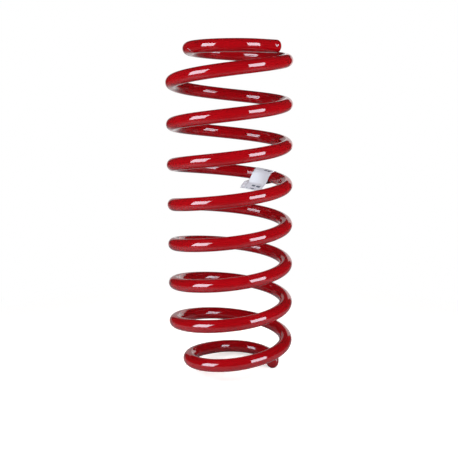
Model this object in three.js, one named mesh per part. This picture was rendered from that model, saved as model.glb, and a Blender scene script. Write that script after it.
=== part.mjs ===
// Suspension coil spring, wound right-handed from one bar of round spring steel.
// Both ends are pigtails: the wire leaves the body of the spring on a tighter circle, so that the
// end coil tucks inside its neighbour. A paper label is wrapped round one of the middle turns.
//
// Units are millimetres and degrees. +Z is the spring's axis, and the origin lies on that axis at
// the lowest point of the wire. The path is described by one turning angle, which grows without
// wrapping from the lower tip to the upper tip. Angle 0 points along +X.
//
// The bar is cut into quarter turns, so that the spring can shorten: each piece slides straight
// down by its own share of the stroke, as each turn of a real spring takes its share of the load.
import * as THREE from 'three';

// Wire and body
const WIRE_DIAMETER = 12.5;
const MEAN_RADIUS = 55.5;
const MAIN_PITCH = 39.2;
const TOP_TURN_PITCH = 42.5;
const LOWER_END_PITCH = WIRE_DIAMETER;
const UPPER_END_PITCH = 0;

// Where the wire starts, where it leaves each seat, and where it stops
const LOWER_TIP = -376;
const LOWER_LIFT_OFF = -90;
const UPPER_LIFT_OFF = 2520;
const UPPER_TIP = 2873;
const QUARTER_TURN = 90;
const FULL_TURN = 360;

// Each end coil is cut into stretches that move as one with their seat
const LOWER_END = {
  cuts: [LOWER_TIP, -270, -180, LOWER_LIFT_OFF],
  names: ['lower_end_tip', 'lower_end_middle', 'lower_end_rise'],
};
const UPPER_END = {
  cuts: [UPPER_LIFT_OFF, 2610, 2700, 2790, UPPER_TIP],
  names: ['upper_end_lead', 'upper_end_fall', 'upper_end_middle', 'upper_end_tip'],
};

// The pitch changes by easing from one value to the next between two angles
const PITCH_CHANGES = [
  { from: -190, to: -75, gain: MAIN_PITCH - LOWER_END_PITCH },
  { from: 2220, to: 2310, gain: TOP_TURN_PITCH - MAIN_PITCH },
  { from: 2535, to: 2715, gain: UPPER_END_PITCH - TOP_TURN_PITCH },
];

// Each pigtail is a circle a little off the spring's axis, blended into the body between two angles
const LOWER_PIGTAIL = { x: 6.1, y: -2.4, radius: 36.4, blendFrom: -245, blendTo: -80 };
const UPPER_PIGTAIL = { x: 3.6, y: 15.2, radius: 43, blendFrom: 2679, blendTo: 2536 };
// The last stretch of the upper pigtail is left straight, from this angle on its own circle
const UPPER_STRAIGHT_FROM = 307.6;

// Cut between neighbouring pieces of the bar
const JOINT_GAP = 0.3;

// Section of the bar: a regular polygon with the round bar's area, flat at top and bottom
const SECTION_SIDES = 12;
const STEP_ANGLE = 9;

// Label: a strip wrapped round the wire, its two ends stuck together in a tail that leans inwards
const LABEL_CENTRE = 1487;
const LABEL_WIDTH = 25;
const LABEL_THICKNESS = 0.5;
const LABEL_CLEARANCE = 0.35;
const LABEL_STEPS = 4;
const LABEL_WRAP_STEPS = 12;
// Where the two ends meet and where the tail stops, measured from the wire's centre
const LABEL_TAIL_ROOT = { out: -8.5, up: -9.5 };
const LABEL_TAIL_END = { out: -13, up: -15.5 };

const UP = new THREE.Vector3(0, 0, 1);
const { degToRad, clamp } = THREE.MathUtils;

// Apothem and corner radius of the polygon whose area is that of the round bar
const sectionHalfAngle = Math.PI / SECTION_SIDES;
const cornerRadius = (WIRE_DIAMETER / 2)
  * Math.sqrt(sectionHalfAngle / (Math.sin(sectionHalfAngle) * Math.cos(sectionHalfAngle)));
const apothem = cornerRadius * Math.cos(sectionHalfAngle);

// Cubic ease from 0 to 1, and the area under it from 0 to x
function ease(x) {
  const t = clamp(x, 0, 1);
  return t * t * (3 - 2 * t);
}

function easedRun(x) {
  const t = clamp(x, 0, 1);
  return t ** 3 - t ** 4 / 2 + Math.max(x - 1, 0);
}

// Height of the wire's centre line: the lower end pitch all the way, plus each change of pitch
function heightAt(angle) {
  let height = apothem + LOWER_END_PITCH * (angle - LOWER_TIP) / FULL_TURN;
  for (const { from, to, gain } of PITCH_CHANGES) {
    height += gain * (to - from) / FULL_TURN * easedRun((angle - from) / (to - from));
  }
  return height;
}

// Distance from the spring's axis to an off-centre circle, in the direction of an angle
function offCentreRadius({ x, y, radius }, angle) {
  const cos = Math.cos(degToRad(angle));
  const sin = Math.sin(degToRad(angle));
  const along = x * cos + y * sin;
  const across = x * sin - y * cos;
  return along + Math.sqrt(radius ** 2 - across ** 2);
}

// The same for the straight stretch that leaves the upper pigtail on its tangent
const straightStart = new THREE.Vector2(
  UPPER_PIGTAIL.x + UPPER_PIGTAIL.radius * Math.cos(degToRad(UPPER_STRAIGHT_FROM)),
  UPPER_PIGTAIL.y + UPPER_PIGTAIL.radius * Math.sin(degToRad(UPPER_STRAIGHT_FROM)),
);
const straightDirection = new THREE.Vector2(
  -Math.sin(degToRad(UPPER_STRAIGHT_FROM)),
  Math.cos(degToRad(UPPER_STRAIGHT_FROM)),
);
const turnsBelowStraight = Math.floor(UPPER_TIP / FULL_TURN) * FULL_TURN;
const straightFromAngle = turnsBelowStraight
  + THREE.MathUtils.radToDeg(straightStart.angle());

function straightRadius(angle) {
  const ray = new THREE.Vector2(Math.cos(degToRad(angle)), Math.sin(degToRad(angle)));
  return straightStart.cross(straightDirection) / ray.cross(straightDirection);
}

function radiusAt(angle) {
  const middle = (LOWER_LIFT_OFF + UPPER_LIFT_OFF) / 2;
  const pigtail = angle < middle ? LOWER_PIGTAIL : UPPER_PIGTAIL;
  const end = angle > straightFromAngle ? straightRadius(angle) : offCentreRadius(pigtail, angle);
  const share = ease((angle - pigtail.blendFrom) / (pigtail.blendTo - pigtail.blendFrom));
  return end + (MEAN_RADIUS - end) * share;
}

// A stretch of the wire's centre line. Its sections stand upright, square to the wire as seen from
// above, so that neighbouring pieces meet on one vertical plane and can slide past each other.
class WirePath extends THREE.Curve {
  constructor(from, to) {
    super();
    this.from = from;
    this.to = to;
  }

  getPoint(t, target = new THREE.Vector3()) {
    const angle = this.from + (this.to - this.from) * t;
    const radius = radiusAt(angle);
    const turned = degToRad(angle);
    return target.set(radius * Math.cos(turned), radius * Math.sin(turned), heightAt(angle));
  }

  computeFrenetFrames(segments) {
    const frames = { tangents: [], normals: [], binormals: [] };
    for (let i = 0; i <= segments; i++) {
      const tangent = this.getTangentAt(i / segments);
      const level = tangent.clone().setZ(0);
      // an upright cut through a sloping round bar is taller than the bar is thick
      frames.normals.push(UP.clone().divideScalar(level.length()));
      frames.binormals.push(new THREE.Vector3().crossVectors(level.normalize(), UP));
      frames.tangents.push(tangent);
    }
    return frames;
  }
}

// Sections are drawn with x up and y outwards, as the frames above carry them
function wireSection() {
  const corners = [];
  for (let i = 0; i < SECTION_SIDES; i++) {
    const turned = (2 * i + 1) * sectionHalfAngle;
    corners.push(new THREE.Vector2(cornerRadius * Math.cos(turned), cornerRadius * Math.sin(turned)));
  }
  return new THREE.Shape(corners);
}

// The label's section is a loop round the wire that leaves it on two tangents, which meet where the
// tail begins. Both faces of the loop are arcs between those tangents, one thickness apart.
function labelSection() {
  const root = new THREE.Vector2(LABEL_TAIL_ROOT.up, LABEL_TAIL_ROOT.out);
  const end = new THREE.Vector2(LABEL_TAIL_END.up, LABEL_TAIL_END.out);
  const innerRadius = cornerRadius + LABEL_CLEARANCE;
  const spread = Math.acos(innerRadius / root.length());
  const wrapFrom = root.angle() + spread;
  const wrapTo = root.angle() + 2 * Math.PI - spread;
  const arc = (radius) => {
    const points = [];
    for (let i = 0; i <= LABEL_WRAP_STEPS; i++) {
      const turned = wrapFrom + (wrapTo - wrapFrom) * i / LABEL_WRAP_STEPS;
      points.push(new THREE.Vector2(radius * Math.cos(turned), radius * Math.sin(turned)));
    }
    return points;
  };
  const along = end.clone().sub(root).normalize();
  const across = new THREE.Vector2(-along.y, along.x).multiplyScalar(LABEL_THICKNESS);
  const shape = new THREE.Shape([
    ...arc(innerRadius + LABEL_THICKNESS),
    root.clone().sub(across),
    end.clone().sub(across),
    end.clone().add(across),
    root.clone().add(across),
  ]);
  shape.holes.push(new THREE.Path([...arc(innerRadius), root]));
  return shape;
}

// Finishes
function paint() {
  return new THREE.MeshStandardMaterial({ color: 0xa00a14, roughness: 0.18, metalness: 0 });
}

function labelPaper() {
  return new THREE.MeshStandardMaterial({ color: 0xd8dae6, roughness: 0.55, metalness: 0 });
}

function sweep(name, section, from, to, steps, material) {
  const path = new WirePath(from, to);
  const geometry = new THREE.ExtrudeGeometry(section, {
    steps,
    extrudePath: path,
    bevelEnabled: false,
  });
  const mesh = new THREE.Mesh(geometry, material);
  mesh.name = name;
  return mesh;
}

// One piece of the bar between two angles, short of each by half the cut
function wirePiece(name, from, to) {
  const trim = THREE.MathUtils.radToDeg(JOINT_GAP / 2 / MEAN_RADIUS);
  const steps = Math.ceil((to - from) / STEP_ANGLE);
  return sweep(name, wireSection(), from + trim, to - trim, steps, paint());
}

const spring = new THREE.Group();

// The end coils, which sit in the lower and the upper seat
for (const { cuts, names } of [LOWER_END, UPPER_END]) {
  names.forEach((name, i) => spring.add(wirePiece(name, cuts[i], cuts[i + 1])));
}

// Active coils, numbered from the bottom in quarter turns
const activeQuarters = (UPPER_LIFT_OFF - LOWER_LIFT_OFF) / QUARTER_TURN;
for (let i = 0; i < activeQuarters; i++) {
  const from = LOWER_LIFT_OFF + i * QUARTER_TURN;
  const name = `active_quarter_${String(i + 1).padStart(2, '0')}`;
  spring.add(wirePiece(name, from, from + QUARTER_TURN));
}

// Label
const labelHalfAngle = THREE.MathUtils.radToDeg(LABEL_WIDTH / 2 / MEAN_RADIUS);
spring.add(sweep(
  'label',
  labelSection(),
  LABEL_CENTRE - labelHalfAngle,
  LABEL_CENTRE + labelHalfAngle,
  LABEL_STEPS,
  labelPaper(),
));

export default spring;
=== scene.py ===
import math

import bpy
import numpy as np
from mathutils import Euler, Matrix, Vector


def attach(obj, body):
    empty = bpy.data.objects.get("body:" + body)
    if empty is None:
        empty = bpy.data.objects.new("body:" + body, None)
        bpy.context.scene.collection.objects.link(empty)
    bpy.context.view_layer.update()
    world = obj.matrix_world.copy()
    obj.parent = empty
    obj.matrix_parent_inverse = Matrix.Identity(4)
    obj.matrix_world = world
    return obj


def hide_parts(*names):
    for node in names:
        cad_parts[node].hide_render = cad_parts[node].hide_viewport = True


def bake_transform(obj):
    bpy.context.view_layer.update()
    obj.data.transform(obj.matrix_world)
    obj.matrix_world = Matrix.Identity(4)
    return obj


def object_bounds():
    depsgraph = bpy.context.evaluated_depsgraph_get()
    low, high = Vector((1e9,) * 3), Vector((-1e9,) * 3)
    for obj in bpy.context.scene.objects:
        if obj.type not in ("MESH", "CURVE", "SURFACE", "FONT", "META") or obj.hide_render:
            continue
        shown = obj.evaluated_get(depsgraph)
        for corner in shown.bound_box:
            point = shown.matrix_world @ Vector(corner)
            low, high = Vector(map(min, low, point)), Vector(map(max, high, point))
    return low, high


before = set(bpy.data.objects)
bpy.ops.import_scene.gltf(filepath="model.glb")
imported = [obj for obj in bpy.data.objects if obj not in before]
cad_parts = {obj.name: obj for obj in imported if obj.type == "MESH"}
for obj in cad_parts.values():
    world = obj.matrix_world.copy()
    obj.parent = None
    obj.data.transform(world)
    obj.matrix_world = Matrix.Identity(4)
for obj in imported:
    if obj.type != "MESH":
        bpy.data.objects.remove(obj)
cad_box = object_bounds()

# ---------------------------------------------------------------------------------------------------
# The red powder coat over the whole bar.
# Polyester powder, sprayed on after shot peening and baked to a hard gloss film. It flows out to a
# fine orange peel, a little thicker on some stretches than on others, with a few specks of dust in it.
# ---------------------------------------------------------------------------------------------------
COAT_THIN = (0.275, 0.0012, 0.0030, 1.0)
COAT_THICK = (0.245, 0.0010, 0.0026, 1.0)
COAT_GLOSS_ROUGHNESS = 0.030
COAT_DULL_ROUGHNESS = 0.060
COAT_IOR = 1.55
FILM_WAVE = {"scale": 26.0, "detail": 2.0, "low": 0.35, "high": 0.65}
DULL_PATCH = {"scale": 50.0, "detail": 4.0, "low": 0.45, "high": 0.75}
ORANGE_PEEL = {"scale": 620.0, "detail": 1.0, "low": 0.2, "high": 0.8}
PEEL_HEIGHT = 0.0000008
FLOW_WAVE = {"scale": 150.0, "detail": 1.0, "low": 0.2, "high": 0.8}
FLOW_HEIGHT = 0.000003
SPECK_SCALE = 110.0
SPECK_RADIUS = 0.030
SPECK_HEIGHT = 0.00003
# Pale grey painted on the coat as a glint and a reflection, with the width, ragged edge and dent of its
# lines
PAINTED_REFLECTION_GREY = (0.55, 0.48, 0.50, 1.0)
PAINTED_LINE_HALF_WIDTH = 0.00034
PAINTED_LINE_SOFT_EDGE = 0.00017
PAINTED_LINE_RAG = {"scale": 900.0, "detail": 2.0, "low": 0.2, "high": 0.8}
PAINTED_LINE_DENT = 0.00004


def add_node(tree, kind, **settings):
    """Adds one node of a kind to a tree and sets its plain properties."""
    node = tree.nodes.new(kind)
    for name, value in settings.items():
        setattr(node, name, value)
    return node


def mottle_group():
    """Builds the group that both finishes use for uneven tone: a noise pattern stretched between two
    levels, so that its output runs from 0 where the noise is below Low to 1 where it is above High."""
    tree = bpy.data.node_groups.new("mottle", "ShaderNodeTree")
    for name, kind in (("Vector", "NodeSocketVector"), ("Scale", "NodeSocketFloat"),
                       ("Detail", "NodeSocketFloat"), ("Low", "NodeSocketFloat"),
                       ("High", "NodeSocketFloat")):
        tree.interface.new_socket(name, in_out="INPUT", socket_type=kind)
    tree.interface.new_socket("Value", in_out="OUTPUT", socket_type="NodeSocketFloat")
    ins = add_node(tree, "NodeGroupInput")
    outs = add_node(tree, "NodeGroupOutput")
    noise = add_node(tree, "ShaderNodeTexNoise")
    spread = add_node(tree, "ShaderNodeMapRange", clamp=True)
    tree.links.new(ins.outputs["Vector"], noise.inputs["Vector"])
    tree.links.new(ins.outputs["Scale"], noise.inputs["Scale"])
    tree.links.new(ins.outputs["Detail"], noise.inputs["Detail"])
    tree.links.new(noise.outputs["Fac"], spread.inputs["Value"])
    tree.links.new(ins.outputs["Low"], spread.inputs["From Min"])
    tree.links.new(ins.outputs["High"], spread.inputs["From Max"])
    tree.links.new(spread.outputs["Result"], outs.inputs["Value"])
    return tree


mottle = mottle_group()


def add_mottle(tree, vector, scale, detail, low, high):
    """Places the mottle group in a material with its own values and returns its output socket."""
    node = add_node(tree, "ShaderNodeGroup", node_tree=mottle)
    tree.links.new(vector, node.inputs["Vector"])
    for name, value in (("Scale", scale), ("Detail", detail), ("Low", low), ("High", high)):
        node.inputs[name].default_value = value
    return node.outputs["Value"]


def scaled(tree, value, factor):
    """Returns the value times a plain factor."""
    node = add_node(tree, "ShaderNodeMath", operation="MULTIPLY")
    tree.links.new(value, node.inputs[0])
    node.inputs[1].default_value = factor
    return node.outputs[0]


def summed(tree, first, second):
    """Returns the sum of two values."""
    node = add_node(tree, "ShaderNodeMath", operation="ADD")
    tree.links.new(first, node.inputs[0])
    tree.links.new(second, node.inputs[1])
    return node.outputs[0]


def ramp(tree, value, start, end, low=0.0, high=1.0, curve="SMOOTHSTEP"):
    """Returns low where the value is under start, high where it is over end, and a smooth step or a
    straight line between them."""
    node = add_node(tree, "ShaderNodeMapRange", clamp=True, interpolation_type=curve)
    tree.links.new(value, node.inputs["Value"])
    for name, limit in (("From Min", start), ("From Max", end), ("To Min", low), ("To Max", high)):
        node.inputs[name].default_value = limit
    return node.outputs["Result"]


def mixed(tree, factor, first, second):
    """Returns the first colour where the factor is 0, the second where it is 1, and their mix between.
    Each is a plain colour or a socket that gives one."""
    node = add_node(tree, "ShaderNodeMix", data_type="RGBA")
    tree.links.new(factor, node.inputs["Factor"])
    for name, colour in (("A", first), ("B", second)):
        if isinstance(colour, tuple):
            node.inputs[name].default_value = colour
        else:
            tree.links.new(colour, node.inputs[name])
    return node.outputs["Result"]


def bumped(tree, shader, height):
    """Feeds a height in metres to a shader's normal."""
    bump = add_node(tree, "ShaderNodeBump")
    tree.links.new(height, bump.inputs["Height"])
    bump.inputs["Distance"].default_value = 1.0
    tree.links.new(bump.outputs["Normal"], shader.inputs["Normal"])


def new_material(name):
    """Makes an empty node material and returns it with its tree, its shader and Object coordinates."""
    material = bpy.data.materials.new(name)
    material.use_nodes = True
    tree = material.node_tree
    tree.nodes.clear()
    output = add_node(tree, "ShaderNodeOutputMaterial")
    shader = add_node(tree, "ShaderNodeBsdfPrincipled")
    tree.links.new(shader.outputs["BSDF"], output.inputs["Surface"])
    place = add_node(tree, "ShaderNodeTexCoord").outputs["Object"]
    return material, tree, shader, place


def painted_line_mask(tree, place, start, end):
    """A thin ragged line: 1 where the distance to the segment from start to end, plus a little noise,
    is under the line's half width. The distance is that to the nearest point of the segment."""
    run = Vector(end) - Vector(start)
    from_start = add_node(tree, "ShaderNodeVectorMath", operation="SUBTRACT")
    tree.links.new(place, from_start.inputs[0])
    from_start.inputs[1].default_value = start
    along = add_node(tree, "ShaderNodeVectorMath", operation="DOT_PRODUCT")
    tree.links.new(from_start.outputs[0], along.inputs[0])
    along.inputs[1].default_value = run / run.length_squared
    share = add_node(tree, "ShaderNodeClamp")
    tree.links.new(along.outputs["Value"], share.inputs["Value"])
    nearest = add_node(tree, "ShaderNodeVectorMath", operation="SCALE")
    nearest.inputs[0].default_value = run
    tree.links.new(share.outputs[0], nearest.inputs["Scale"])
    gap = add_node(tree, "ShaderNodeVectorMath", operation="DISTANCE")
    tree.links.new(from_start.outputs[0], gap.inputs[0])
    tree.links.new(nearest.outputs[0], gap.inputs[1])
    ragged = scaled(tree, add_mottle(tree, place, **PAINTED_LINE_RAG), PAINTED_LINE_HALF_WIDTH)
    return ramp(tree, summed(tree, gap.outputs["Value"], ragged), PAINTED_LINE_HALF_WIDTH,
                PAINTED_LINE_HALF_WIDTH + PAINTED_LINE_SOFT_EDGE, low=1.0, high=0.0)


def make_red_coat(name, painted_reflections=()):
    """Gloss red film: its tone follows the film thickness, its gloss dips in patches, and its height
    adds fine orange peel, slow flow waves and dust specks. Along the given lines it has painted
    reflections: pale grey, over a slight dent."""
    material, tree, shader, place = new_material(name)
    colour = mixed(tree, add_mottle(tree, place, **FILM_WAVE), COAT_THIN, COAT_THICK)
    # The given lines are painted pale grey over the red as painted reflections, and dented a little
    reflection_lines = None
    for start, end in painted_reflections:
        line = painted_line_mask(tree, place, start, end)
        reflection_lines = line if reflection_lines is None else summed(tree, reflection_lines, line)
    if reflection_lines is not None:
        colour = mixed(tree, reflection_lines, colour, PAINTED_REFLECTION_GREY)
    tree.links.new(colour, shader.inputs["Base Color"])

    gloss = ramp(tree, add_mottle(tree, place, **DULL_PATCH), 0.0, 1.0,
                 low=COAT_GLOSS_ROUGHNESS, high=COAT_DULL_ROUGHNESS, curve="LINEAR")
    tree.links.new(gloss, shader.inputs["Roughness"])

    peel = scaled(tree, add_mottle(tree, place, **ORANGE_PEEL), PEEL_HEIGHT)
    flow = scaled(tree, add_mottle(tree, place, **FLOW_WAVE), FLOW_HEIGHT)
    cells = add_node(tree, "ShaderNodeTexVoronoi")
    tree.links.new(place, cells.inputs["Vector"])
    cells.inputs["Scale"].default_value = SPECK_SCALE
    speck = ramp(tree, cells.outputs["Distance"], 0.0, SPECK_RADIUS, low=SPECK_HEIGHT, high=0.0)
    height = summed(tree, summed(tree, peel, flow), speck)
    if reflection_lines is not None:
        height = summed(tree, height, scaled(tree, reflection_lines, -PAINTED_LINE_DENT))
    bumped(tree, shader, height)
    shader.inputs["IOR"].default_value = COAT_IOR
    return material


red_coat = make_red_coat("red_powder_coat")

# ---------------------------------------------------------------------------------------------------
# The lower end coil: one bar of 12.5 mm spring steel starts here.
# The bar is coiled hot, right-handed. Its lower end is drawn in to a pigtail that winds down one bar
# thickness a turn and sits in the axle's seat; its tip is cut square, and the coat rounds the cut edge.
# ---------------------------------------------------------------------------------------------------
BAR_RADIUS = 0.00625
MEAN_RADIUS = 0.0555
MAIN_PITCH = 0.0392
TOP_TURN_PITCH = 0.0425
LOWER_END_PITCH = 2 * BAR_RADIUS
UPPER_END_PITCH = 0.0
FULL_TURN = 360.0
QUARTER_TURN = 90.0
LOWER_TIP = -376.0
LOWER_LIFT_OFF = -90.0
UPPER_LIFT_OFF = 2520.0
UPPER_TIP = 2873.0
# angles between which the end coil's stretches run
LOWER_CUTS = (LOWER_TIP, -270.0, -180.0, LOWER_LIFT_OFF)
HALF_WAY_UP = 1260.0
LOWEST_BAR_HEIGHT = 0.006178
PITCH_CHANGES = (
    (-190.0, -75.0, MAIN_PITCH - LOWER_END_PITCH),
    (2220.0, 2310.0, TOP_TURN_PITCH - MAIN_PITCH),
    (2535.0, 2715.0, UPPER_END_PITCH - TOP_TURN_PITCH),
)
LOWER_PIGTAIL = {"x": 0.0061, "y": -0.0024, "radius": 0.0364, "from": -245.0, "to": -80.0}
UPPER_PIGTAIL = {"x": 0.0036, "y": 0.0152, "radius": 0.0430, "from": 2679.0, "to": 2536.0}
UPPER_STRAIGHT_FROM = 307.6
UPPER_TURNS_BEFORE_STRAIGHT = 2520.0
CUT_EDGE_RADIUS = 0.0026
SIDES = 64
STATION_STEP = 2.25
CUT_EDGE_RINGS = 9
SLOPE_STEP = 0.05


def ease(x):
    """Smooth step: t squared times (3 - 2t), with t the value held between 0 and 1."""
    t = np.clip(x, 0.0, 1.0)
    return t * t * (3.0 - 2.0 * t)


def eased_run(x):
    """The integral of ease: t cubed minus half t to the fourth, and one for one past 1."""
    t = np.clip(x, 0.0, 1.0)
    return t**3 - t**4 / 2.0 + np.maximum(x - 1.0, 0.0)


def height_at(angle):
    """Height of the bar's centre: the lower end's even climb, plus each change of pitch eased in."""
    height = LOWEST_BAR_HEIGHT + LOWER_END_PITCH * (angle - LOWER_TIP) / FULL_TURN
    for start, end, gain in PITCH_CHANGES:
        span = end - start
        height = height + gain * span / FULL_TURN * eased_run((angle - start) / span)
    return height


def pigtail_radius(angle, pigtail):
    """Distance from the axis to a circle drawn off centre, along the ray at an angle: the ray's run
    to the foot of the circle's centre, plus the half chord that is left."""
    ray = np.radians(angle)
    along = pigtail["x"] * np.cos(ray) + pigtail["y"] * np.sin(ray)
    across = pigtail["x"] * np.sin(ray) - pigtail["y"] * np.cos(ray)
    return along + np.sqrt(pigtail["radius"] ** 2 - across**2)


def straight_radius(angle):
    """Distance from the axis to the upper tip's straight run, along the ray at an angle: the cross
    product of the run's start and way over that of the ray and the way. Also the angle it starts at."""
    turn = math.radians(UPPER_STRAIGHT_FROM)
    start_x = UPPER_PIGTAIL["x"] + UPPER_PIGTAIL["radius"] * math.cos(turn)
    start_y = UPPER_PIGTAIL["y"] + UPPER_PIGTAIL["radius"] * math.sin(turn)
    way_x, way_y = -math.sin(turn), math.cos(turn)
    ray = np.radians(angle)
    distance = (start_x * way_y - start_y * way_x) / (np.cos(ray) * way_y - np.sin(ray) * way_x)
    first = UPPER_TURNS_BEFORE_STRAIGHT + math.degrees(math.atan2(start_y, start_x)) % FULL_TURN
    return distance, first


def radius_at(angle):
    """Distance of the bar's centre from the axis: the end coil's own shape, eased to the body's."""
    end = np.where(angle < HALF_WAY_UP, pigtail_radius(angle, LOWER_PIGTAIL),
                   pigtail_radius(angle, UPPER_PIGTAIL))
    straight, first = straight_radius(angle)
    end = np.where(angle > first, straight, end)
    share = np.where(
        angle < HALF_WAY_UP,
        ease((angle - LOWER_PIGTAIL["from"]) / (LOWER_PIGTAIL["to"] - LOWER_PIGTAIL["from"])),
        ease((angle - UPPER_PIGTAIL["from"]) / (UPPER_PIGTAIL["to"] - UPPER_PIGTAIL["from"])),
    )
    return end + (MEAN_RADIUS - end) * share


def bar_centre(angle):
    """Points on the bar's centre line: radius and height of the coil at each angle, in degrees."""
    angle = np.asarray(angle, float)
    ray = np.radians(angle)
    radius = radius_at(angle)
    return np.stack([radius * np.cos(ray), radius * np.sin(ray), height_at(angle)], axis=-1)


def bar_frame(angle):
    """Centre, way, outward and upward directions of the bar at each angle. The way is the slope of the
    centre line; outward is level and square to it; upward is square to both."""
    centre = bar_centre(angle)
    way = bar_centre(angle + SLOPE_STEP) - bar_centre(angle - SLOPE_STEP)
    way /= np.linalg.norm(way, axis=-1, keepdims=True)
    level = way * (1.0, 1.0, 0.0)
    level /= np.linalg.norm(level, axis=-1, keepdims=True)
    outward = np.cross(level, (0.0, 0.0, 1.0))
    upward = np.cross(outward, way)
    return centre, way, outward, upward


def bar_grid(angle, shift, ring_radius, lean):
    """A tube as a grid of rings: each ring lies square to the centre line, moved along it by shift, and
    its outward normal leans towards the way by the angle lean, as on a rounded cut edge."""
    centre, way, outward, upward = bar_frame(angle)
    turn = np.radians(np.arange(SIDES) * FULL_TURN / SIDES)
    spoke = (outward[:, None] * np.cos(turn)[None, :, None]
             + upward[:, None] * np.sin(turn)[None, :, None])
    points = (centre + way * shift[:, None])[:, None] + spoke * ring_radius[:, None, None]
    normals = spoke * np.cos(lean)[:, None, None] + (way * np.sin(lean)[:, None])[:, None]
    return points, normals


def mesh_piece(name, points, faces, corner_normals, material):
    """Makes a smooth-shaded object whose corner normals are the surface's own, so that pieces of one
    bar join without a seam."""
    mesh = bpy.data.meshes.new(name)
    mesh.from_pydata(points.tolist(), [], faces)
    mesh.polygons.foreach_set("use_smooth", np.ones(len(faces), bool))
    mesh.normals_split_custom_set(corner_normals.tolist())
    mesh.materials.append(material)
    mesh.update()
    piece = bpy.data.objects.new(name, mesh)
    bpy.context.scene.collection.objects.link(piece)
    return piece


def bar_piece(name, first, last, round_first=False, round_last=False, coat=red_coat):
    """One stretch of the bar between two angles, closed at both ends. A rounded end turns a quarter
    circle from the side to the flat cut face; a plain end meets the next stretch."""
    centre = bar_centre(np.array([first, first + SLOPE_STEP, last - SLOPE_STEP, last]))
    pull_in = np.array([
        CUT_EDGE_RADIUS / np.linalg.norm(centre[1] - centre[0]) * SLOPE_STEP,
        CUT_EDGE_RADIUS / np.linalg.norm(centre[3] - centre[2]) * SLOPE_STEP,
    ]) * (round_first, round_last)
    steps = round((last - first) / STATION_STEP)
    angle = np.linspace(first + pull_in[0], last - pull_in[1], steps + 1)
    shift = np.zeros(len(angle))
    lean = np.zeros(len(angle))
    corner = np.linspace(0.0, math.pi / 2, CUT_EDGE_RINGS)
    if round_first:
        angle = np.concatenate([np.full(CUT_EDGE_RINGS, angle[0]), angle[1:]])
        shift = np.concatenate([-CUT_EDGE_RADIUS * np.sin(corner[::-1]), shift[1:]])
        lean = np.concatenate([-corner[::-1], lean[1:]])
    if round_last:
        angle = np.concatenate([angle[:-1], np.full(CUT_EDGE_RINGS, angle[-1])])
        shift = np.concatenate([shift[:-1], CUT_EDGE_RADIUS * np.sin(corner)])
        lean = np.concatenate([lean[:-1], corner])
    ring_radius = BAR_RADIUS - CUT_EDGE_RADIUS * (1.0 - np.cos(lean))
    points, normals = bar_grid(angle, shift, ring_radius, lean)

    rings = len(angle)
    index = np.arange(rings * SIDES).reshape(rings, SIDES)
    beside = np.roll(index, -1, axis=1)
    sides = np.stack([index[:-1], index[1:], beside[1:], beside[:-1]], axis=-1).reshape(-1, 4)
    normals = normals.reshape(-1, 3)
    _, way, _, _ = bar_frame(angle[[0, -1]])
    faces = sides.tolist() + [index[0].tolist(), index[-1][::-1].tolist()]
    corner_normals = np.concatenate([
        normals[sides].reshape(-1, 3),
        np.tile(-way[0], (SIDES, 1)),
        np.tile(way[1], (SIDES, 1)),
    ])
    return mesh_piece(name, points.reshape(-1, 3), faces, corner_normals, coat)


def place_end_stretch(piece_name, node, body, first, last, **ends):
    """Makes one stretch of an end coil, which moves as one with its seat, and shows it for its node."""
    piece = bar_piece(piece_name, first, last, **ends)
    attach(piece, body)
    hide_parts(node)


place_end_stretch("lower_coil_tip", "lower_end_tip", "lower_end", *LOWER_CUTS[0:2], round_first=True)
place_end_stretch("lower_coil_middle", "lower_end_middle", "lower_end", *LOWER_CUTS[1:3])
place_end_stretch("lower_coil_rise", "lower_end_rise", "lower_end", *LOWER_CUTS[2:4])

# ---------------------------------------------------------------------------------------------------
# The active turns: seven and a quarter turns of free bar between the end coils.
# They are one piece of steel that twists as the spring is pressed. Each quarter turn is made as a
# piece of its own.
# ---------------------------------------------------------------------------------------------------
ACTIVE_QUARTERS = 29


for quarter in range(ACTIVE_QUARTERS):
    first = LOWER_LIFT_OFF + quarter * QUARTER_TURN
    turn_piece = bar_piece(f"free_turn_quarter_{quarter + 1:02d}", first, first + QUARTER_TURN)
    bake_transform(turn_piece)
    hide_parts(f"active_quarter_{quarter + 1:02d}")

# ---------------------------------------------------------------------------------------------------
# The upper end coil: the other pigtail, wider than the lower one and wound level.
# It seats in the body's spring cup. Its last centimetres run straight to the cut tip.
# Two small pale grey marks on its coat are painted light: a painted glint by the cut tip and a
# painted reflection on the bend.
# ---------------------------------------------------------------------------------------------------
UPPER_CUTS = (UPPER_LIFT_OFF, 2610.0, 2700.0, 2790.0, UPPER_TIP)
# Painted glint by the cut tip: a pale grey V, each stroke from its start to its end point
PAINTED_GLINT_AT_TIP = (
    ((0.0440, -0.0158, 0.3195), (0.0458, -0.0147, 0.3168)),
    ((0.0466, -0.0139, 0.3197), (0.0458, -0.0147, 0.3168)),
)
# Painted reflection on the bend: a short pale grey line in two parts, each from its start to its end
# point
PAINTED_REFLECTION_AT_BEND = (
    ((-0.0393, -0.0087, 0.3168), (-0.0363, -0.0112, 0.3143)),
    ((-0.0363, -0.0112, 0.3143), (-0.0331, -0.0094, 0.3121)),
)
painted_glint_coat = make_red_coat("red_powder_coat_painted_glint", PAINTED_GLINT_AT_TIP)
painted_reflection_coat = make_red_coat("red_powder_coat_painted_reflection", PAINTED_REFLECTION_AT_BEND)

place_end_stretch("upper_coil_lead", "upper_end_lead", "upper_end", *UPPER_CUTS[0:2])
place_end_stretch("upper_coil_fall", "upper_end_fall", "upper_end", *UPPER_CUTS[1:3])
place_end_stretch("upper_coil_middle", "upper_end_middle", "upper_end", *UPPER_CUTS[2:4],
                  coat=painted_reflection_coat)
place_end_stretch("upper_coil_tip", "upper_end_tip", "upper_end", *UPPER_CUTS[3:5], round_last=True,
                  coat=painted_glint_coat)

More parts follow.
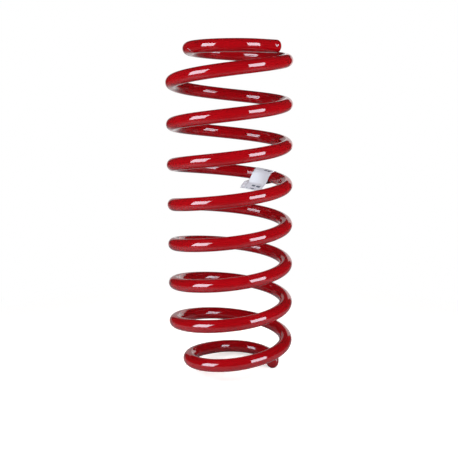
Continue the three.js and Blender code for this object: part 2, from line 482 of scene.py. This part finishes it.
# ---------------------------------------------------------------------------------------------------
# The label: one strip of white film, wrapped round the bar of a middle turn and stuck to itself.
# Its two ends meet in a short tail below the bar, the hidden end a little out of line with the other.
# ---------------------------------------------------------------------------------------------------
LABEL_CENTRE = 1487.0
LABEL_WIDTH = 0.0252
LABEL_THICKNESS = 0.00018
LABEL_LIFT = 0.00020
TAIL_ROOT_OUT, TAIL_ROOT_UP = -0.0080, -0.0085
TAIL_END_OUT, TAIL_END_UP = -0.0130, -0.0155
FRONT_LEAF_DRIFT = -0.0080
FRONT_LEAF_SHARE = 0.36
BACK_LEAF_DRIFT = -0.0125
BACK_LEAF_CURL = 1.5
FRONT_LEAF_CURL = 1.2
LEAF_GAP = 0.00016
WRAP_POINTS = 65
CORNER_SMOOTHINGS = 2
LABEL_ROWS = 97
LABEL_COLUMNS = 25
LABEL_PAPER = (0.63, 0.56, 0.555, 1.0)
LABEL_PAPER_SHADE = (0.585, 0.52, 0.52, 1.0)
LABEL_ROUGHNESS = 0.42
LABEL_FIBRE = {"scale": 900.0, "detail": 4.0, "low": 0.3, "high": 0.7}
FIBRE_HEIGHT = 0.00001
LABEL_INK = (0.10, 0.10, 0.12, 1.0)
# rows of dashes: start and end across the strip, start and end along it, dashes across the full width
LABEL_ROWS_OF_DASHES = (
    (0.14, 0.52, 0.362, 0.384, 34),
    (0.18, 0.68, 0.062, 0.092, 26),
    (0.34, 0.90, 0.012, 0.034, 30),
)
DASH_GAPS = 0.42


def label_outline():
    """The strip's middle line in the bar's cross-section, as outward and upward distances: up the front
    leaf of the tail, round the bar over its top, and down the back leaf. Also the share of the strip's
    length that lies before each point."""
    wrap = BAR_RADIUS + LABEL_LIFT
    root_distance = math.hypot(TAIL_ROOT_OUT, TAIL_ROOT_UP)
    root_bearing = math.atan2(TAIL_ROOT_UP, TAIL_ROOT_OUT)
    opening = math.acos(wrap / root_distance)
    bearing = np.linspace(root_bearing - opening, root_bearing - 2 * math.pi + opening, WRAP_POINTS)
    wrapped = np.stack([wrap * np.cos(bearing), wrap * np.sin(bearing)], axis=-1)
    root = np.array([TAIL_ROOT_OUT, TAIL_ROOT_UP])
    end = np.array([TAIL_END_OUT, TAIL_END_UP])
    along = (end - root) / np.linalg.norm(end - root)
    aside = np.array([along[1], -along[0]]) * LEAF_GAP
    front = [end + aside, root + aside]
    back = [root - aside, end - aside]
    corners = np.concatenate([front, wrapped, back])
    run = np.concatenate([[0.0], np.cumsum(np.linalg.norm(np.diff(corners, axis=0), axis=1))])
    even = np.linspace(0.0, run[-1], LABEL_ROWS)
    line = np.stack([np.interp(even, run, corners[:, k]) for k in (0, 1)], axis=-1)
    for _ in range(CORNER_SMOOTHINGS):
        line[1:-1] = (line[:-2] + 2.0 * line[1:-1] + line[2:]) / 4.0
    return line, even / run[-1]


def compared(tree, value, operation, limit):
    """Returns 1 where the value is above, or below, a limit, and 0 elsewhere."""
    node = add_node(tree, "ShaderNodeMath", operation=operation)
    tree.links.new(value, node.inputs[0])
    node.inputs[1].default_value = limit
    return node.outputs[0]


def row_of_dashes(tree, across, along, left, right, low, high, count):
    """One row of printed dashes: 1 inside a rectangle of the strip wherever a random value, drawn
    afresh for each of count equal steps across the strip, is above the share left as gaps."""
    step = add_node(tree, "ShaderNodeMath", operation="FLOOR")
    tree.links.new(scaled(tree, across, count), step.inputs[0])
    draw = add_node(tree, "ShaderNodeTexWhiteNoise", noise_dimensions="1D")
    tree.links.new(step.outputs[0], draw.inputs["W"])
    inside = compared(tree, draw.outputs["Value"], "GREATER_THAN", DASH_GAPS)
    for value, operation, limit in ((across, "GREATER_THAN", left), (across, "LESS_THAN", right),
                                    (along, "GREATER_THAN", low), (along, "LESS_THAN", high)):
        both = add_node(tree, "ShaderNodeMath", operation="MULTIPLY")
        tree.links.new(inside, both.inputs[0])
        tree.links.new(compared(tree, value, operation, limit), both.inputs[1])
        inside = both.outputs[0]
    return inside


def make_label_paper():
    """White film label: faint fibre mottling, a soft sheen, and rows of short grey dashes that spell
    nothing, laid out on the strip's own map."""
    material, tree, shader, place = new_material("label_film")
    fibre = add_mottle(tree, place, **LABEL_FIBRE)
    paper = mixed(tree, fibre, LABEL_PAPER, LABEL_PAPER_SHADE)
    strip = add_node(tree, "ShaderNodeUVMap", uv_map="strip")
    split = add_node(tree, "ShaderNodeSeparateXYZ")
    tree.links.new(strip.outputs["UV"], split.inputs[0])
    ink = None
    for row in LABEL_ROWS_OF_DASHES:
        dashes = row_of_dashes(tree, split.outputs["X"], split.outputs["Y"], *row)
        ink = dashes if ink is None else summed(tree, ink, dashes)
    tree.links.new(mixed(tree, ink, paper, LABEL_INK), shader.inputs["Base Color"])
    shader.inputs["Roughness"].default_value = LABEL_ROUGHNESS
    bumped(tree, shader, scaled(tree, fibre, FIBRE_HEIGHT))
    return material


def label_piece():
    """The strip as a closed sheet: its outline swept along the bar for the label's width, both leaves
    of the tail drifting aside, and each face half the film's thickness from the middle line."""
    line, share = label_outline()
    across = np.linspace(-0.5, 0.5, LABEL_COLUMNS)
    drift = (BACK_LEAF_DRIFT * ease((share - 0.5) / 0.5) ** BACK_LEAF_CURL
             + FRONT_LEAF_DRIFT * np.clip(1.0 - share / FRONT_LEAF_SHARE, 0.0, 1.0) ** FRONT_LEAF_CURL)
    degrees_per_metre = math.degrees(1.0 / MEAN_RADIUS)
    angle = LABEL_CENTRE + (across[None, :] * LABEL_WIDTH - drift[:, None]) * degrees_per_metre
    centre, _, outward, upward = bar_frame(angle)
    middle = centre + outward * line[:, None, :1] + upward * line[:, None, 1:]
    down_strip = np.gradient(middle, axis=0)
    across_strip = np.gradient(middle, axis=1)
    normal = np.cross(down_strip, across_strip)
    normal /= np.linalg.norm(normal, axis=-1, keepdims=True)
    faces_out = middle + normal * LABEL_THICKNESS / 2
    faces_in = middle - normal * LABEL_THICKNESS / 2
    count = LABEL_ROWS * LABEL_COLUMNS
    top = np.arange(count).reshape(LABEL_ROWS, LABEL_COLUMNS)
    under = top + count
    outer = np.stack([top[:-1, :-1], top[1:, :-1], top[1:, 1:], top[:-1, 1:]], axis=-1)
    inner = np.stack([under[:-1, :-1], under[:-1, 1:], under[1:, 1:], under[1:, :-1]], axis=-1)
    sheet = [outer.reshape(-1, 4), inner.reshape(-1, 4)]
    rim = np.concatenate([top[:-1, 0], top[-1, :-1], top[:0:-1, -1], top[0, :0:-1]])
    next_rim = np.roll(rim, -1)
    sheet.append(np.stack([rim, rim + count, next_rim + count, next_rim], axis=-1))
    faces = np.concatenate(sheet).tolist()
    points = np.concatenate([faces_out.reshape(-1, 3), faces_in.reshape(-1, 3)])
    mesh = bpy.data.meshes.new("label_strip")
    mesh.from_pydata(points.tolist(), [], faces)
    mesh.polygons.foreach_set("use_smooth", np.arange(len(faces)) < len(sheet[0]) * 2)
    grid = np.stack(np.broadcast_arrays(across[None, :] + 0.5, share[:, None]), axis=-1).reshape(-1, 2)
    grid = np.concatenate([grid, grid])
    corners = np.concatenate(faces)
    mesh.uv_layers.new(name="strip").data.foreach_set("uv", grid[corners].astype(np.float32).ravel())
    mesh.materials.append(make_label_paper())
    mesh.update()
    piece = bpy.data.objects.new("label_strip", mesh)
    bpy.context.scene.collection.objects.link(piece)
    return piece


label = label_piece()
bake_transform(label)
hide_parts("label")

# ---------------------------------------------------------------------------------------------------
# The studio, which isn't part of the object: a pale floor under the spring, two tall soft boxes in
# front that only the gloss shows, lit sheets behind, and panels that light the red but aren't mirrored.
# ---------------------------------------------------------------------------------------------------
FLOOR_SIZE = 6.0
FLOOR_DROP = 0.0002
FLOOR_BOUNCE = (0.34, 0.34, 0.34, 1.0)
FLOOR_BEYOND = (0.04, 0.04, 0.04, 1.0)
FLOOR_ROUGHNESS = 0.9
FLOOR_DARK_TO = -0.30
FLOOR_PALE_FROM = -0.10
SWEEP_FROM = 0.30
SWEEP_TO = 0.80
SWEEP_HALF_WIDTH = 0.25
SWEEP_GONE_AT = 0.50
SWEEP_LIGHT = 0.45
FLOOR_PAPER = (0.95, 0.79, 0.70, 1.0)
FLOOR_LIFT = 0.52
FLOOR_FADE_FROM = 0.14
FLOOR_FADE_TO = 0.42
# In front of the spring the paper turns grey between these distances, so that the soft boxes' glare
# stands out from it in a view from behind
ROOM_GREY = 0.55
ROOM_GREY_FROM = 0.27
ROOM_GREY_TO = 0.75
ROOM_DARK = (0.03, 0.03, 0.03, 1.0)
WHITE = (1.0, 1.0, 1.0, 1.0)

scene = bpy.context.scene
scene.view_settings.view_transform = "Standard"


def mixed_shaders(tree, factor, first, second):
    """Returns the first shader where the factor is 0, the second where it is 1, and their mix between."""
    node = add_node(tree, "ShaderNodeMixShader")
    for socket, source in enumerate((factor, first, second)):
        tree.links.new(source, node.inputs[socket])
    return node.outputs["Shader"]


def make_floor():
    """A square of pale floor just under the lowest point of the spring. Away from the spring it fades
    to plain paper, so that it has no edge. What the coat mirrors of it is a darker floor with a pale
    sweep behind the spring."""
    half = FLOOR_SIZE / 2
    mesh = bpy.data.meshes.new("floor")
    corners = [(-half, -half), (half, -half), (half, half), (-half, half)]
    mesh.from_pydata([(x, y, cad_box[0][2] - FLOOR_DROP) for x, y in corners], [], [(0, 1, 2, 3)])
    floor = bpy.data.objects.new("floor", mesh)
    scene.collection.objects.link(floor)
    material, tree, shader, place = new_material("floor_paper")
    split = add_node(tree, "ShaderNodeSeparateXYZ")
    tree.links.new(place, split.inputs[0])
    back = split.outputs["Y"]

    bounce = mixed(tree, ramp(tree, back, FLOOR_DARK_TO, FLOOR_PALE_FROM), FLOOR_BEYOND, FLOOR_BOUNCE)
    tree.links.new(bounce, shader.inputs["Base Color"])
    shader.inputs["Roughness"].default_value = FLOOR_ROUGHNESS
    side = add_node(tree, "ShaderNodeMath", operation="ABSOLUTE")
    tree.links.new(split.outputs["X"], side.inputs[0])
    span = ramp(tree, side.outputs[0], SWEEP_HALF_WIDTH, SWEEP_GONE_AT, low=SWEEP_LIGHT, high=0.0)
    sweep = add_node(tree, "ShaderNodeMath", operation="MULTIPLY")
    tree.links.new(ramp(tree, back, SWEEP_FROM, SWEEP_TO), sweep.inputs[0])
    tree.links.new(span, sweep.inputs[1])
    tree.links.new(sweep.outputs[0], shader.inputs["Emission Strength"])
    shader.inputs["Emission Color"].default_value = WHITE

    paper = add_node(tree, "ShaderNodeBsdfDiffuse")
    paper.inputs["Color"].default_value = FLOOR_PAPER
    lift = add_node(tree, "ShaderNodeEmission")
    lift.inputs["Strength"].default_value = FLOOR_LIFT
    near = add_node(tree, "ShaderNodeAddShader")
    tree.links.new(paper.outputs["BSDF"], near.inputs[0])
    tree.links.new(lift.outputs["Emission"], near.inputs[1])
    far = add_node(tree, "ShaderNodeEmission")
    room = ramp(tree, back, -ROOM_GREY_TO, -ROOM_GREY_FROM, low=ROOM_GREY)
    tree.links.new(room, far.inputs["Strength"])
    reach = add_node(tree, "ShaderNodeVectorMath", operation="LENGTH")
    tree.links.new(place, reach.inputs[0])
    fade = ramp(tree, reach.outputs["Value"], FLOOR_FADE_FROM, FLOOR_FADE_TO)
    seen = mixed_shaders(tree, fade, near.outputs["Shader"], far.outputs["Emission"])
    eye = add_node(tree, "ShaderNodeLightPath").outputs["Is Camera Ray"]
    whole = mixed_shaders(tree, eye, shader.outputs["BSDF"], seen)
    tree.links.new(whole, tree.nodes["Material Output"].inputs["Surface"])
    mesh.materials.append(material)


make_floor()


def soft_light(name, place, aim, size, radiance, colour, mirrored=True, lighting=True):
    """A rectangle of even light at a place, facing an aim point, as bright as a radiance: its power is
    the radiance times pi times its area. It can be left out of the reflections or of the light."""
    light = bpy.data.lights.new(name, "AREA")
    light.shape = "RECTANGLE"
    light.size, light.size_y = size
    light.energy = radiance * math.pi * size[0] * size[1]
    light.color = colour
    lamp = bpy.data.objects.new(name, light)
    lamp.location = place
    lamp.rotation_euler = (Vector(aim) - Vector(place)).to_track_quat("-Z", "Y").to_euler()
    lamp.visible_camera = False
    lamp.visible_glossy = mirrored
    lamp.visible_diffuse = lighting
    scene.collection.objects.link(lamp)


def around(azimuth, distance, height):
    """A point at a bearing from the front, measured to the right, at a distance and a height."""
    ray = math.radians(azimuth)
    return math.sin(ray) * distance, -math.cos(ray) * distance, height


SPRING_MIDDLE = (0.0, 0.0, 0.16)
COOL_WHITE = (0.83, 1.0, 1.13)
PLAIN_WHITE = (1.0, 1.0, 1.0)
BOX_DISTANCE = 1.8
BOX_CENTRE_HEIGHT = 0.64
BOX_HEIGHT = 1.36
BOX_RADIANCE = 11.8
SHEET_DISTANCE = 2.0
SHEET_CENTRE_HEIGHT = 0.47
SHEET_HEIGHT = 0.94
FILL_DISTANCE = 0.42
FILL_CENTRE_HEIGHT = 0.30
FILL_SIZE = (0.22, 0.50)

# Soft boxes: bearing and width. Only the coat's gloss shows them.
for side, bearing, width in (("left", -58.0, 1.08), ("right", 49.2, 1.00)):
    soft_light(f"soft_box_{side}", around(bearing, BOX_DISTANCE, BOX_CENTRE_HEIGHT), SPRING_MIDDLE,
               (width, BOX_HEIGHT), BOX_RADIANCE, COOL_WHITE, lighting=False)

# Lit sheets behind: bearing, width and radiance
for side, bearing, width, radiance in (("right", 163.0, 0.92, 1.0), ("left", -171.5, 0.96, 0.45)):
    soft_light(f"lit_sheet_{side}", around(bearing, SHEET_DISTANCE, SHEET_CENTRE_HEIGHT),
               (0.0, 0.0, SHEET_CENTRE_HEIGHT), (width, SHEET_HEIGHT), radiance, PLAIN_WHITE)

# Panels that light the red itself: close in at both sides, on the floor in front, and behind
for side, bearing, radiance in (("left", -52.0, 9.4), ("right", 52.0, 9.0)):
    soft_light(f"fill_{side}", around(bearing, FILL_DISTANCE, FILL_CENTRE_HEIGHT), SPRING_MIDDLE,
               FILL_SIZE, radiance, COOL_WHITE, mirrored=False)
soft_light("floor_fill", place=(0.0, -0.62, 0.002), aim=(0.0, -0.62, 1.0), size=(2.2, 1.2),
           radiance=0.55, colour=PLAIN_WHITE, mirrored=False)
soft_light("fill_behind", place=(0.0, 1.6, 0.60), aim=SPRING_MIDDLE, size=(1.2, 1.0),
           radiance=3.0, colour=PLAIN_WHITE, mirrored=False)

# The room past the floor: dark to the coat, so that it mirrors only the lights, and paper to the eye
world = bpy.data.worlds.new("studio")
scene.world = world
world.use_nodes = True
room = world.node_tree
room.nodes.clear()
dark = add_node(room, "ShaderNodeBackground")
dark.inputs["Color"].default_value = ROOM_DARK
paper = add_node(room, "ShaderNodeBackground")
paper.inputs["Color"].default_value = WHITE
direction = add_node(room, "ShaderNodeSeparateXYZ")
room.links.new(add_node(room, "ShaderNodeTexCoord").outputs["Generated"], direction.inputs[0])
far_side = FLOOR_SIZE / 2
grey = ramp(room, direction.outputs["Y"], -ROOM_GREY_TO / far_side, -ROOM_GREY_FROM / far_side,
            low=ROOM_GREY)
room.links.new(grey, paper.inputs["Strength"])
eye = add_node(room, "ShaderNodeLightPath").outputs["Is Camera Ray"]
whole = mixed_shaders(room, eye, dark.outputs["Background"], paper.outputs["Background"])
room.links.new(whole, add_node(room, "ShaderNodeOutputWorld").inputs["Surface"])

# ---------------------------------------------------------------------------------------------------
# The camera: a long lens in front of the spring, a little above its middle and looking down.
# ---------------------------------------------------------------------------------------------------
CAMERA_DISTANCE = 0.7598
CAMERA_HEIGHT = 0.2625
CAMERA_PITCH = 9.06
CAMERA_ROLL = 0.36
CAMERA_YAW = 0.025
LENS = 60.69

lens = bpy.data.cameras.new("camera")
lens.lens = LENS
camera = bpy.data.objects.new("camera", lens)
camera.rotation_mode = "XYZ"
camera.location = (0.0, -CAMERA_DISTANCE, CAMERA_HEIGHT)
tilt = (90.0 - CAMERA_PITCH, CAMERA_ROLL, CAMERA_YAW)
camera.rotation_euler = Euler([math.radians(angle) for angle in tilt])
scene.collection.objects.link(camera)
scene.camera = camera
